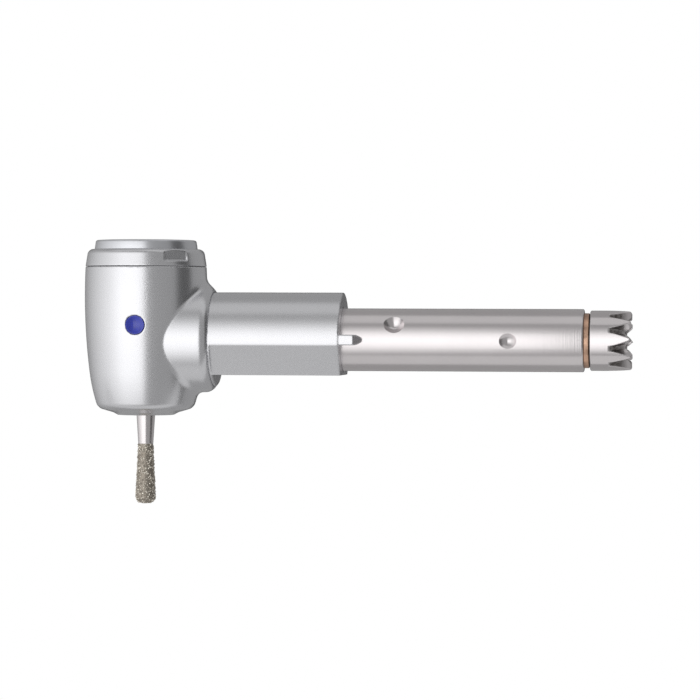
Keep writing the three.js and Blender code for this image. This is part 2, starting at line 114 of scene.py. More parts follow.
class HeadSizes(bpy.types.PropertyGroup):
    belly_radius: length("Belly radius", 5.315, "Radius of the barrel where it is widest")
    belly_height: length("Belly height", 3.8, "Height of the widest place above the drive axis")
    boss_radius: length("Boss radius", 4.61, "Radius of the boss that holds the neck")
    boss_reach: length("Boss reach", 6.24, "How far the boss's end face is from the head's axis")
    boss_round: length("Boss edge", 0.95, "Rounding of the boss's end edge")
    sharp_fillet: length("Upper fillet", 0.3, "Fillet between barrel and boss on the upper shoulders")
    soft_fillet: length("Lower fillet", 0.5, "Fillet between barrel and boss below the drive axis")
    ridge_fillet: length("Ridge fillet", 0.8, "Fillet between barrel and boss along the top")
    notch_width: length("Notch width", 2.3, "Width of the back cap's spanner notches")
    notch_floor: length("Notch floor", 4.91, "Distance of the notch floor from the head's axis")
    dot_radius: length("Dot radius", 0.8, "Radius of the colour dot")
    dot_height: length("Dot height", 1.23, "Height of the colour dot above the drive axis")


class NeckSizes(bpy.types.PropertyGroup):
    under_flat: length("Under flat", 3.06, "Distance of the sleeve's under flat from the drive axis")
    side_flat: length("Side flat", 3.78, "Distance of the sleeve's side flats from the drive axis")
    tongue_half: length("Tongue half width", 0.45, "Half the width of a tongue")
    tongue_reach: length("Tongue reach", 1.25, "How far a tongue stands out before its lead-in")
    tongue_lead: length("Tongue lead-in", 0.6, "Length of the tongue's pointed lead-in")
    tooth_length: length("Tooth length", 1.94, "Length of the coupling's teeth on their outer side")
    tooth_slope: bpy.props.FloatProperty(
        name="Gap slope",
        description="Rise of a gap's floor towards the axis, per length inwards",
        default=2.1,
        min=0,
    )
    tooth_gap: length("Tooth gap", 0.42, "Width of the gap between two teeth at their roots")


class BurSizes(bpy.types.PropertyGroup):
    grain: length("Grain", 0.085, "Mean radius of a diamond grain")
    grains_per_area: bpy.props.FloatProperty(
        name="Grain density", description="Grains on a square millimetre", default=42, min=1, max=200
    )
    seed: bpy.props.IntProperty(name="Seed", description="Seed of the grain pattern", default=7)


class FinishColours(bpy.types.PropertyGroup):
    satin: colour("Satin chrome", (0.70, 0.70, 0.72), "Bead-blasted plating of the head")
    turned: colour("Turned steel", (0.725, 0.69, 0.695), "Tube, coupling and bur shank")
    polished: colour("Polished steel", (0.70, 0.71, 0.74), "Push button and small bright pieces")
    ground: colour("Ground steel", (0.52, 0.525, 0.53), "Shafts, gears and bearings")
    bronze: colour("Bronze", (0.66, 0.42, 0.30), "Bushes and shims")
    enamel: colour("Blue enamel", (0.03, 0.046, 0.44), "Colour dot")
    rubber: colour("Rubber", (0.02, 0.02, 0.022), "Seals")
    polymer: colour("Cage polymer", (0.30, 0.19, 0.09), "Bearing cages")
    nickel: colour("Nickel bond", (0.40, 0.355, 0.30), "The metal that holds the diamond grains")
    roughness: share("Satin roughness", 0.275, "Roughness of the bead-blasted plating")


class StudioSettings(bpy.types.PropertyGroup):
    azimuth: bpy.props.FloatProperty(
        name="Azimuth", description="Camera angle round the object", default=math.radians(7), unit="ROTATION"
    )
    elevation: bpy.props.FloatProperty(
        name="Elevation", description="Camera angle above level", default=math.radians(0.6), unit="ROTATION"
    )
    roll: bpy.props.FloatProperty(
        name="Roll", description="Camera turn about its own axis", default=math.radians(0.19), unit="ROTATION"
    )
    distance: length("Distance", 270, "Distance of the camera from the middle of its view")
    view_width: length("View width", 60.45, "Width of the view at that distance")
    view_x: length("View centre X", 0.54, "Middle of the view along the drive axis")
    view_z: length("View centre Z", -0.89, "Middle of the view's height")
    ambient: share("Ambient", 0.38, "Brightness of the studio's grey surroundings")


# ---- Shader nodes as arithmetic ----


class Wire:
    """A number socket that takes part in arithmetic. Each operator adds the Math node for it."""

    def __init__(self, paint, socket):
        self.paint = paint
        self.socket = socket

    def __add__(self, other):
        return self.paint.math("ADD", self, other)

    def __sub__(self, other):
        return self.paint.math("SUBTRACT", self, other)

    def __mul__(self, other):
        return self.paint.math("MULTIPLY", self, other)

    def __truediv__(self, other):
        return self.paint.math("DIVIDE", self, other)

    def __rsub__(self, other):
        return self.paint.math("SUBTRACT", other, self)

    __radd__ = __add__
    __rmul__ = __mul__


class Paint:
    """A material's node tree, with one method that adds a node and joins its sockets."""

    def __init__(self, name):
        self.material = bpy.data.materials.new(name)
        self.material.use_nodes = True
        self.tree = self.material.node_tree
        self.tree.nodes.clear()

    def node(self, kind, settings=None, *inputs, output=0, **named):
        made = self.tree.nodes.new(kind)
        for key, value in (settings or {}).items():
            setattr(made, key, value)
        for place, value in [*enumerate(inputs), *named.items()]:
            socket = made.inputs[place if isinstance(place, int) else place.replace("_", " ")]
            if isinstance(value, Wire):
                self.tree.links.new(value.socket, socket)
            elif value is not None:
                socket.default_value = value
        return Wire(self, made.outputs[output]) if made.outputs else None

    def math(self, operation, *values):
        return self.node("ShaderNodeMath", {"operation": operation}, *values)

    def ramp(self, value, start, end, low=0.0, high=1.0, easing="LINEAR"):
        """A value between start and end, carried over to between low and high."""
        settings = {"interpolation_type": easing}
        return self.node("ShaderNodeMapRange", settings, value, start, end, low, high)

    def place(self):
        """Object coordinates, in metres."""
        return self.node("ShaderNodeTexCoord", output="Object")

    def axes(self):
        """The three object coordinates as numbers."""
        split = self.node("ShaderNodeSeparateXYZ", {}, self.place()).socket.node
        return [Wire(self, socket) for socket in split.outputs]

    def noise(self, size, detail=2.0):
        """Noise whose features are about size across, in metres."""
        return self.node(
            "ShaderNodeTexNoise", {}, Vector=self.place(), Scale=1 / size, Detail=detail, Roughness=0.6
        )

    def lines(self, along, size, detail=2.0):
        """Noise that changes only along one coordinate, as cutting marks do."""
        settings = {"noise_dimensions": "1D"}
        return self.node("ShaderNodeTexNoise", settings, W=along, Scale=1 / size, Detail=detail)

    def bump(self, height, depth):
        """A Normal for the shader, from a height between 0 and 1 and its depth in metres."""
        return self.node("ShaderNodeBump", {}, Height=height, Distance=depth)

    def blend(self, factor, first, second):
        """A mix of two colours, each of three numbers."""
        number_sockets = [None] * 5
        ends = (*first, 1), (*second, 1)
        return self.node("ShaderNodeMix", {"data_type": "RGBA"}, factor, *number_sockets, *ends, output=2)

    def shades(self, factor, colour, painted_shade, light):
        """Shades of one colour, from dark times to light times as bright."""
        ends = ([min(1.0, channel * times) for channel in colour] for times in (painted_shade, light))
        return self.blend(factor, *ends)

    def finish(self, **surface):
        """Ends the tree in a Principled shader with these values or sockets."""
        bsdf = self.node("ShaderNodeBsdfPrincipled", {}, **surface)
        self.node("ShaderNodeOutputMaterial", {}, bsdf)
        return self.material

    def light(self, brightness):
        """Ends the tree in a white light of this brightness."""
        light = self.node("ShaderNodeEmission", {}, (1, 1, 1, 1), brightness)
        self.node("ShaderNodeOutputMaterial", {}, light)
        return self.material


# The spacing of cutting marks in metres, the colour of painted shade in the coupling's gaps and bore, and the
# colour of a bare grain.
CUT_MARKS = 0.00012
GAP_SHADE = (0.10, 0.088, 0.08)
BARE_GRAIN = (0.95, 0.90, 0.80)


def satin_chrome(paint, colours):
    """Bead-blasted plating: an even fine grain that breaks up the edges of reflections."""
    grain = paint.noise(0.00012, detail=2)
    return paint.finish(
        Base_Color=paint.shades(paint.noise(0.004), colours.satin, 0.97, 1.03),
        Metallic=1.0,
        Roughness=(grain - 0.5) * 0.06 + colours.roughness,
        Normal=paint.bump(grain, 0.0000032),
    )


def machined(paint, colour, roughness, axis, depth):
    """Fine turning marks round an axis, which smear reflections along it."""
    marks = paint.lines(paint.axes()[axis], CUT_MARKS, detail=3)
    return paint.finish(
        Base_Color=paint.shades(paint.noise(0.003), colour, 0.96, 1.03),
        Metallic=1.0,
        Roughness=(marks - 0.5) * 0.08 + roughness,
        Normal=paint.bump(marks, depth),
    )


def tube_steel(paint, colours):
    """The shank tube's turned steel, marked round its length."""
    return machined(paint, colours.turned, roughness=0.225, axis=0, depth=0.0000028)


def button_steel(paint, colours):
    """The button's brighter turned steel, marked round the head's axis."""
    return machined(paint, colours.polished, roughness=0.3, axis=2, depth=0.000002)


def bur_steel(paint, colours):
    """The bur shank's ground steel."""
    return machined(paint, colours.turned, roughness=0.22, axis=2, depth=0.000003)


def coupling_steel(paint, colours):
    """Bright on the outside; duller in the gaps and the bore away from the tooth tips, where painted shade
    darkens its colour.
    """
    x, y, z = paint.axes()
    inner = paint.ramp(paint.math("SQRT", y * y + z * z), 2.565 * MM, 2.5 * MM)
    tip = CROWN_HIGH.x
    behind = paint.ramp(x, (tip - 0.3) * MM, (tip - 0.9) * MM)
    # Painted shade: the colour darkens in the gaps and the bore, away from the tips, mottled by noise.
    painted_shade = inner * behind * paint.ramp(paint.noise(0.0003, detail=3), 0.3, 0.7, 0.55, 1.0)
    marks = paint.lines(x, CUT_MARKS, detail=3)
    return paint.finish(
        Base_Color=paint.blend(painted_shade, colours.turned, GAP_SHADE),
        Metallic=1.0,
        Roughness=painted_shade * 0.2 + (marks - 0.5) * 0.08 + 0.16,
        Normal=paint.bump(marks, 0.000002),
    )


def bright_steel(paint, colours):
    """Clean polished steel with a slight haze."""
    haze = paint.noise(0.0006, detail=3)
    return paint.finish(
        Base_Color=paint.shades(haze, colours.polished, 0.94, 1.04),
        Metallic=1.0,
        Roughness=(haze - 0.5) * 0.1 + 0.2,
        Normal=paint.bump(paint.noise(0.00008), 0.0000012),
    )


def ground_steel(paint, colours):
    """Darker hardened steel, ground and lightly oiled."""
    haze = paint.noise(0.0005, detail=4)
    return paint.finish(
        Base_Color=paint.shades(haze, colours.ground, 0.85, 1.1),
        Metallic=1.0,
        Roughness=haze * 0.15 + 0.2,
        Normal=paint.bump(paint.noise(0.00005), 0.0000012),
    )


def sintered_bronze(paint, colours):
    """Sintered bronze: fine pores, and patches where oil has darkened it."""
    pores = paint.noise(0.00007, detail=3)
    tone = paint.ramp(paint.noise(0.0011, detail=2) * 0.7 + pores * 0.3, 0.3, 0.7)
    return paint.finish(
        Base_Color=paint.shades(tone, colours.bronze, 0.5, 1.3),
        Metallic=1.0,
        Roughness=0.42 - tone * 0.16,
        Normal=paint.bump(pores, 0.000005),
    )


def dot_enamel(paint, colours):
    """Glossy fired enamel, slightly uneven where it filled its pocket."""
    depth = paint.noise(0.0003, detail=3)
    return paint.finish(
        Base_Color=paint.shades(depth, colours.enamel, 0.75, 1.3),
        Roughness=0.15,
        Specular_IOR_Level=0.8,
        Normal=paint.bump(depth, 0.000004),
    )


def seal_rubber(paint, colours):
    """Dull black rubber."""
    grain = paint.noise(0.00012)
    return paint.finish(
        Base_Color=paint.shades(grain, colours.rubber, 0.8, 1.5),
        Roughness=grain * 0.2 + 0.5,
        Normal=paint.bump(grain, 0.000003),
    )


def cage_resin(paint, colours):
    """Cloth-filled resin, mottled by its weave."""
    weave = paint.noise(0.0002, detail=4)
    return paint.finish(
        Base_Color=paint.shades(weave, colours.polymer, 0.7, 1.2),
        Roughness=weave * 0.2 + 0.45,
        Normal=paint.bump(weave, 0.000004),
    )


def bonded_grit(paint, colours):
    """Grains in their bond. Each grain's own shade is in the piece's attribute."""
    shade = paint.node("ShaderNodeAttribute", {"attribute_name": "grain_shade"}, output="Fac")
    fine = paint.noise(0.00006, detail=3)
    bond = [channel * 0.8 for channel in colours.nickel]
    return paint.finish(
        Base_Color=paint.blend(paint.ramp(shade * 0.8 + fine * 0.3, 0.15, 0.9), bond, BARE_GRAIN),
        Metallic=0.8,
        Roughness=0.42 - shade * 0.25,
        Normal=paint.bump(fine, 0.000006),
    )


FINISHES = {
    make.__name__: make
    for make in (
        satin_chrome,
        tube_steel,
        button_steel,
        bur_steel,
        coupling_steel,
        bright_steel,
        ground_steel,
        sintered_bronze,
        dot_enamel,
        seal_rubber,
        cage_resin,
        bonded_grit,
    )
}


def finish(name):
    """A finish's material, made the first time that it is asked for."""
    made = bpy.data.materials.get(name)
    return made or FINISHES[name](Paint(name), bpy.context.scene.handpiece_colours)


# ---- Meshes ----

# Outlines are points of radius and height in millimetres, and where a corner has a rounding other than
# CORNER, that too. A rounding gets CORNER_STEPS pieces, and a corner flatter than NEARLY_STRAIGHT gets none.
CORNER, CORNER_STEPS, NEARLY_STRAIGHT = 0.04, 5, math.radians(174)
# Edges past these angles are shaded sharp, on a turned piece and on one with pieces cut out of it.
SHARP_EDGE, SHARP_CUT = math.radians(40), math.radians(24)


def new_mesh(name, points, faces):
    """A smooth mesh from an array of points and a list or array of faces."""
    mesh = bpy.data.meshes.new(name)
    mesh.from_pydata(np.asarray(points, float).tolist(), [], [list(face) for face in faces])
    mesh.validate()
    mesh.shade_smooth()
    return mesh


def settle(name, mesh, body, material, node):
    """Puts a piece in the scene on its body, in place of the frame node that it stands for."""
    mesh.materials.clear()
    mesh.materials.append(finish(material))
    piece = bpy.data.objects.new(name, mesh)
    bpy.context.scene.collection.objects.link(piece)
    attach(piece, body)
    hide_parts(node)
    return piece


def rounded(outline):
    """An outline as plain points, with its corners rounded."""
    corners = [(*corner, CORNER)[:3] for corner in outline]
    points = []
    for i, (r, h, size) in enumerate(corners):
        here = Vector((r, h))
        before = Vector(corners[i - 1][:2]) - here
        after = Vector(corners[(i + 1) % len(corners)][:2]) - here
        on_axis = r < 1e-6
        kept = on_axis or size <= 0 or before.length < 1e-6 or after.length < 1e-6
        angle = 0 if kept else before.angle(after)
        if kept or angle > NEARLY_STRAIGHT:
            points.append((r, h))
            continue
        reach = min(size / math.tan(angle / 2), before.length * 0.48, after.length * 0.48)
        start = here + before.normalized() * reach
        end = here + after.normalized() * reach
        for k in range(CORNER_STEPS + 1):
            t = k / CORNER_STEPS
            point = start * (1 - t) ** 2 + here * (2 * t * (1 - t)) + end * t**2
            points.append((point.x, point.y))
    return points


def turned(name, outline, about="head", sides=160):
    """A piece turned about the head's axis or the drive axis, with its faces outwards."""
    points = np.array(rounded(outline))
    after = np.roll(points, -1, axis=0)
    if np.sum(points[:, 0] * after[:, 1] - after[:, 0] * points[:, 1]) < 0:
        points = points[::-1]
    turn = np.arange(sides) * 2 * math.pi / sides
    rings, places = [], []
    for r, h in points:
        first = len(places)
        if r < 1e-6:
            places.append((0, 0, h))
            rings.append([first] * sides)
        else:
            places.extend((r * math.cos(a), r * math.sin(a), h) for a in turn)
            rings.append(list(range(first, first + sides)))
    faces = []
    for low, high in zip(rings, rings[1:] + rings[:1]):
        if low[0] == low[1] and high[0] == high[1]:
            continue
        for i in range(sides):
            j = (i + 1) % sides
            loop = [low[i], low[j], high[j], high[i]]
            faces.append(list(dict.fromkeys(loop)))
    mesh = new_mesh(name, placed(np.array(places), about), faces)
    mesh.set_sharp_from_angle(angle=SHARP_EDGE)
    return mesh


def placed(points, about):
    """Points in millimetres about Z, moved to the head's axis or laid on the drive axis, in metres."""
    if about == "head":
        return (points + (HEAD_X, 0, 0)) * MM
    return points[:, [2, 0, 1]] * MM


# ---- Solids as distance fields: below zero inside, and all sizes in millimetres ----

# The width of the cells that each of them is meshed with.
CELLS = {"casing": 0.108, "cap_ring": 0.075, "sleeve": 0.088, "crown": 0.045}


def both(a, b, rounding=0.0):
    """What is in both solids, with the edge between them rounded."""
    if rounding <= 0:
        return np.maximum(a, b)
    corner = np.hypot(np.maximum(a + rounding, 0), np.maximum(b + rounding, 0))
    return np.minimum(np.maximum(a, b), -rounding) + corner


def less(a, b, rounding=0.0):
    """What is in the first solid and not in the second."""
    return both(a, -b, rounding)


def joined(a, b, blend):
    """What is in either solid, with a fillet that reaches as far as blend."""
    near = np.maximum(blend - np.abs(a - b), 0) / blend
    return np.minimum(a, b) - near * near * blend / 4


def between(value, low, high):
    """A slab from low to high along a coordinate."""
    return np.maximum(low - value, value - high)


def fade(value, start, end):
    """From 0 at start to 1 at end, smoothly."""
    t = np.clip((value - start) / (end - start), 0, 1)
    return t * t * (3 - 2 * t)


def skin(name, field, low, high):
    """The closed surface of a field: a vertex in each cell that it crosses, moved onto it."""
    step = CELLS[name]
    ticks = [np.arange(a - 1.5 * step, b + 2.5 * step, step) for a, b in zip(low, high)]
    grid = np.stack(np.meshgrid(*ticks, indexing="ij"), -1)
    value = field(grid[..., 0], grid[..., 1], grid[..., 2])
    cells = tuple(n - 1 for n in value.shape)
    total = np.zeros(cells + (3,))
    count = np.zeros(cells)
    crossings = []
    for axis in range(3):
        start = value.take(range(value.shape[axis] - 1), axis)
        end = value.take(range(1, value.shape[axis]), axis)
        crossed = (start < 0) != (end < 0)
        share_along = np.where(crossed, start / np.where(crossed, start - end, 1), 0)
        point = grid.take(range(value.shape[axis] - 1), axis).copy()
        point[..., axis] += share_along * step
        u, v = (axis + 1) % 3, (axis + 2) % 3
        for du in (0, 1):
            for dv in (0, 1):
                window = [slice(None)] * 3
                window[u] = slice(du, cells[u] + du)
                window[v] = slice(dv, cells[v] + dv)
                window = tuple(window)
                count += crossed[window]
                total += point[window] * crossed[window][..., None]
        crossings.append((crossed, start < 0))
    active = count > 0
    index = np.full(cells, -1)
    index[active] = np.arange(active.sum())
    points = total[active] / count[active][:, None]
    faces = []
    for axis, (crossed, rising) in enumerate(crossings):
        u, v = (axis + 1) % 3, (axis + 2) % 3
        edges = np.argwhere(crossed)
        way = rising[crossed]
        loop = []
        for du, dv in ((-1, -1), (0, -1), (0, 0), (-1, 0)):
            cell = edges.copy()
            cell[:, u] += du
            cell[:, v] += dv
            loop.append(index[tuple(cell.T)])
        loop = np.stack(loop, 1)
        faces.append(np.where(way[:, None], loop, loop[:, ::-1]))
    return new_mesh(name, onto(field, points, step) * MM, np.concatenate(faces))


def onto(field, points, step, rounds=5):
    """Points moved onto the surface of a field."""
    reach = step * 0.05
    for _ in range(rounds):
        x, y, z = points.T
        here = field(x, y, z)
        slope = np.stack(
            [
                field(x + reach, y, z) - field(x - reach, y, z),
                field(x, y + reach, z) - field(x, y - reach, z),
                field(x, y, z + reach) - field(x, y, z - reach),
            ],
            1,
        ) / (2 * reach)
        size = np.maximum(np.sum(slope**2, 1), 0.25)
        move = -(here / size)[:, None] * slope
        far = np.linalg.norm(move, axis=1)
        limit = np.minimum(1, 0.4 * step / np.maximum(far, 1e-12))
        points = points + move * limit[:, None]
    return points


# ---- The head: casing, back cap, button and dot ----

# The barrel's side is an arc, which turns in faster below a height. Its base slopes down to the nose disc.
BELLY_ARC = 52.8
TURN_IN, TURN_IN_HEIGHT = 0.025, -2.9
NOSE_RADIUS, NOSE_STEP, NOSE_FLARE = 2.84, 0.22, 1.8
BASE_SLOPE, BASE_LENGTH, BASE_ROUND = 0.29, 1.04, 0.35
# Bores that take the tube and the sleeve, and the floor of the dot's pocket.
TUBE_BORE, SLEEVE_SOCKET, POCKET_FLOOR = 2.74, 4.09, -4.8
# The casing's bores about its own axis, from the nose up: radius, lower end and upper end.
CAVITY = (
    (1.98, -8.0, -5.0),
    (2.4, -6.25, -5.0),
    (3.02, -5.75, -3.6),
    (3.3, -3.65, 2.8),
    (2.75, 2.0, 3.5),
    (3.02, 3.1, 5.5),
    (4.47, 4.95, 8.0),
)
# The back cap's radius at a height, its taper and its upper edge's rounding, and the radius of its skirt.
CAP_RADIUS, CAP_RADIUS_HEIGHT, CAP_TAPER, CAP_ROUND, CAP_SKIRT = 5.262, 6.3, 0.158, 0.44, 4.42
# What is turned out of it: radius, lower end, upper end and rounding.
CAP_BORES = (
    (4.52, 6.8, math.inf, 0.07),
    (3.71, 6.0, math.inf, 0.03),
    (3.98, 5.42, 6.42, 0.03),
    (2.3, -math.inf, math.inf, 0.03),
)
# How its two notches are turned about its axis, in degrees, and the height that they reach down to.
NOTCH_TURNS, NOTCH_LOW = (-49, 131), 6.75


def belly(z, sizes):
    """The barrel's radius at a height: a gentle arc that turns in faster near the nose."""
    low = np.maximum(TURN_IN_HEIGHT - z, 0)
    widest = sizes.belly_radius / MM
    return widest - (z - sizes.belly_height / MM) ** 2 / (2 * BELLY_ARC) - TURN_IN * low**2


def casing_field(sizes):
    """The barrel with its boss, bored for the spindle, the sleeve, the tube and the dot."""
    radius, reach, edge = (v / MM for v in (sizes.boss_radius, sizes.boss_reach, sizes.boss_round))
    sharp, soft, ridge = (v / MM for v in (sizes.sharp_fillet, sizes.soft_fillet, sizes.ridge_fillet))
    nose = CASING_LOW.z
    seam = CASING_HIGH.z

    def barrel(z, r):
        side = r - belly(z, sizes)
        base = (nose + NOSE_STEP + BASE_SLOPE * (r - NOSE_RADIUS) - z) / BASE_LENGTH
        body = both(both(side, base, BASE_ROUND), z - seam, 0.05)
        flare = np.maximum(nose + NOSE_STEP - z, 0) * NOSE_FLARE
        disc = both(r - NOSE_RADIUS + flare, nose - z, 0.04)
        return joined(body, both(disc, z - (nose + 1)), 0.03)

    def field(x, y, z):
        ahead = x - HEAD_X
        r = np.hypot(ahead, y)
        rho = np.hypot(y, z)
        boss = both(both(rho - radius, ahead - reach, edge), -ahead)
        alike = np.clip(y * y / np.maximum(r * rho, 1e-6), 0, 1)
        fillet = sharp + (soft - sharp) * fade(z, 1.0, -1.0) + (ridge - sharp) * fade(z, 3.4, 4.6)
        blend = 4 * fillet * (1 - np.sqrt((1 + alike) / 2)) + 0.01
        outer = joined(barrel(z, r), boss, blend)
        for width, start, end in CAVITY:
            outer = less(outer, both(r - width, between(z, start, end)), 0.03)
        neck = both(rho - TUBE_BORE, -ahead)
        socket = both(rho - SLEEVE_SOCKET, SLEEVE_LOW.x - 0.05 - x)
        from_dot = np.hypot(ahead, z - sizes.dot_height / MM)
        pocket = both(from_dot - sizes.dot_radius / MM - 0.02, y - POCKET_FLOOR)
        outer = less(less(outer, neck, 0.03), socket, 0.13)
        return less(outer, pocket, 0.03)

    return field


def cap_field(sizes):
    """The back cap: a tapered ring with two notches, and its skirt inside the casing."""
    top = CAP_HIGH.z
    floor = CAP_LOW.z
    seam = CASING_HIGH.z + 0.035
    notch_half = sizes.notch_width / MM / 2
    notch_floor = sizes.notch_floor / MM

    def field(x, y, z):
        ahead = x - HEAD_X
        r = np.hypot(ahead, y)
        side = r - (CAP_RADIUS - CAP_TAPER * (z - CAP_RADIUS_HEIGHT))
        ring = both(both(side, z - top, CAP_ROUND), seam - z, 0.06)
        skirt = both(r - CAP_SKIRT, between(z, floor, top - 0.5), 0.04)
        body = joined(ring, skirt, 0.02)
        for width, start, end, rounding in CAP_BORES:
            body = less(body, both(r - width, between(z, start, end)), rounding)
        for turn in map(math.radians, NOTCH_TURNS):
            out = ahead * math.cos(turn) + y * math.sin(turn)
            across = -ahead * math.sin(turn) + y * math.cos(turn)
            notch = both(notch_floor - out, np.abs(across) - notch_half, 0.12)
            notch = both(notch, NOTCH_LOW - z, 0.12)
            body = less(body, notch, 0.05)
        return body

    return field


# The button from the middle of its underside: skirt with its seal's groove, disc with a waist, and top.
BUTTON_OUTLINE = [
    (0, 7.45),
    (3.15, 7.45, 0.1),
    (3.15, BUTTON_LOW.z, 0.05),
    (3.66, BUTTON_LOW.z, 0.06),
    (3.66, 6.2),
    (3.42, 6.2),
    (3.42, 6.41),
    (3.66, 6.41),
    (3.66, 7.45, 0.1),
    (4.48, 7.45, 0.05),
    (4.48, 7.5),
    (4.16, 7.5),
    (4.16, 7.74),
    (4.48, 7.74, 0.04),
    (4.36, BUTTON_HIGH.z - 0.02, 0.24),
    (3.72, BUTTON_HIGH.z - 0.02, 0.08),
    (3.55, 8.53, 0.12),
    (0, 8.53),
]

# The dot is dished: its rim, the radius of its dish and how deep that is.
DOT_RIM, DISH_RADIUS, DISH_DEPTH = 5.24, 0.76, 0.27
DOT_OUTLINE = [(0, -POCKET_FLOOR), (0.8, -POCKET_FLOOR), (0.8, DOT_RIM, 0.02)]
DOT_OUTLINE += [
    (DISH_RADIUS * k / 8, DOT_RIM - DISH_DEPTH * (1 - (k / 8) ** 2), 0) for k in range(8, -1, -1)
]

# The button's return spring: radius of its coil and of its wire, and its turns.
SPRING_RADIUS, SPRING_WIRE, SPRING_TURNS = 2.72, 0.16, 3


def coil(name, radius, wire, low, high, turns, steps=48, sides=16):
    """A wire wound about the head's axis, steeper in its middle than near its ends."""
    points = []
    count = turns * steps
    for i in range(count + 1):
        turn = 2 * math.pi * i / steps
        rise = float(fade(i, steps * 0.1, count - steps * 0.1)) * 0.35 + 0.65 * i / count
        height = low + wire + (high - low - 2 * wire) * rise
        for k in range(sides):
            about = 2 * math.pi * k / sides
            out = radius + wire * math.cos(about)
            points.append((out * math.cos(turn), out * math.sin(turn), height + wire * math.sin(about)))
    faces = [list(range(sides)), list(range(count * sides + sides - 1, count * sides - 1, -1))]
    for i in range(count):
        for k in range(sides):
            here, after = i * sides + k, i * sides + (k + 1) % sides
            faces.append([here, here + sides, after + sides, after])
    mesh = new_mesh(name, placed(np.array(points), "head"), faces)
    mesh.set_sharp_from_angle(angle=SHARP_EDGE)
    return mesh


class HANDPIECE_OT_casing(bpy.types.Operator):
    """Builds the casing with its boss blended into the barrel"""

    bl_idname = "handpiece.casing"
    bl_label = "Head Casing"

    def execute(self, context):
        field = casing_field(context.scene.handpiece_head)
        mesh = skin("casing", field, CASING_LOW, CASING_HIGH)
        settle("casing", mesh, "head", "satin_chrome", "head_casing")
        return {"FINISHED"}


class HANDPIECE_OT_cap(bpy.types.Operator):
    """Builds the screwed back cap, its push button and the spring under it"""

    bl_idname = "handpiece.cap"
    bl_label = "Back Cap and Button"

    def execute(self, context):
        mesh = skin("cap_ring", cap_field(context.scene.handpiece_head), CAP_LOW, CAP_HIGH)
        settle("cap_ring", mesh, "head", "satin_chrome", "back_cap")
        button = turned("thumb_button", BUTTON_OUTLINE, sides=224)
        settle("thumb_button", button, "button", "button_steel", "push_button")
        low, high = SPRING_LOW.z, SPRING_HIGH.z
        wire = coil("button_spring", SPRING_RADIUS, SPRING_WIRE, low, high, SPRING_TURNS)
        spring = settle("button_spring", wire, "head", "ground_steel", "return_spring")
        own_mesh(spring)
        return {"FINISHED"}


class HANDPIECE_OT_dot(bpy.types.Operator):
    """Builds the domed colour dot on the near side of the casing"""

    bl_idname = "handpiece.dot"
    bl_label = "Colour Dot"

    def execute(self, context):
        sizes = context.scene.handpiece_head
        mesh = turned("speed_dot", DOT_OUTLINE, about="drive", sides=96)
        to_front = Matrix.Rotation(math.radians(-90), 4, "Z")
        mesh.transform(Matrix.Translation((HEAD_X * MM, 0, sizes.dot_height)) @ to_front)
        settle("speed_dot", mesh, "head", "dot_enamel", "colour_dot")
        return {"FINISHED"}


# ---- The neck: sleeve, tube, bush and coupling ----

SIDE_FLAT_TILT = math.radians(27.7)
FLATS_START = SLEEVE_LOW.x + 1.61
TONGUE_INNER, TONGUE_ROOT = 2.95, -0.6
# The coupling: its teeth, where the first one stands, their curve and half the width of a tip, and the
# radius of its socket and of the screw's hole.
TEETH, FIRST_TOOTH, TOOTH_CURVE, TIP_HALF = 10, math.radians(177), 1.3, 0.045
SOCKET_RADIUS, SCREW_HOLE = 1.85, 1.22
SCREW_SEAT = CROWN_HIGH.x - 2.28


def sleeve_field(sizes):
    """The neck sleeve: flats below and at both sides, and a tongue at each side of its end."""
    outer = SLEEVE_HIGH.z
    under, side = sizes.under_flat / MM, sizes.side_flat / MM
    half, reach, lead = (v / MM for v in (sizes.tongue_half, sizes.tongue_reach, sizes.tongue_lead))

    def field(x, y, z):
        rho = np.hypot(y, z)
        aside = np.abs(y) * math.cos(SIDE_FLAT_TILT) - z * math.sin(SIDE_FLAT_TILT)
        flats = limited(both(-z - under, aside - side), x - FLATS_START)
        body = both(rho - outer, flats, 0.03)
        body = both(body, between(x, SLEEVE_LOW.x, 0), 0.07)
        point = np.maximum(x - reach, 0) / lead
        tongue = both(np.abs(z) - half * (1 - 0.6 * point**2), rho - (outer - 0.03) + point, 0.04)
        tongue = both(tongue, between(x, TONGUE_ROOT, reach + lead), 0.03)
        tongue = both(tongue, TONGUE_INNER - rho, 0.03)
        body = joined(body, tongue, 0.02)
        return less(body, rho - TUBE_BORE, 0.05)

    return field


def limited(flats, along):
    """The flats where along is above zero, and no limit before it."""
    return np.where(along > 0, flats, np.minimum(flats, along))


def crown_field(sizes):
    """The coupling: a hub with a socket for its screw, and pointed teeth round its end."""
    outer = CROWN_HIGH.z
    start, end = CROWN_LOW.x, CROWN_HIGH.x
    pitch = 2 * math.pi * outer / TEETH
    gap = sizes.tooth_gap / MM / 2

    def field(x, y, z):
        rho = np.hypot(y, z)
        body = both(both(rho - outer, x - end, 0.2), start - x, 0.13)
        socket = both(rho - SOCKET_RADIUS, SCREW_SEAT - x, 0.08)
        body = less(body, socket, 0.1)
        body = less(body, rho - SCREW_HOLE, 0.04)
        root = end - sizes.tooth_length / MM + sizes.tooth_slope * (outer - rho)
        root = np.minimum(root, end - 0.3)
        turn = (np.arctan2(z, y) - FIRST_TOOTH) * TEETH / (2 * math.pi)
        off = np.abs(turn - np.floor(turn) - 0.5)
        t = np.clip((x - root) / (end - root), 0, 1.2)
        tooth_half = (pitch / 2 - gap - TIP_HALF) * (1 - t**TOOTH_CURVE) + TIP_HALF
        width = pitch / 2 - tooth_half
        slot = (off * pitch - width) * rho / outer / 1.07
        slot = both(slot, root - x, 0.05)
        return less(body, slot, 0.035)

    return field


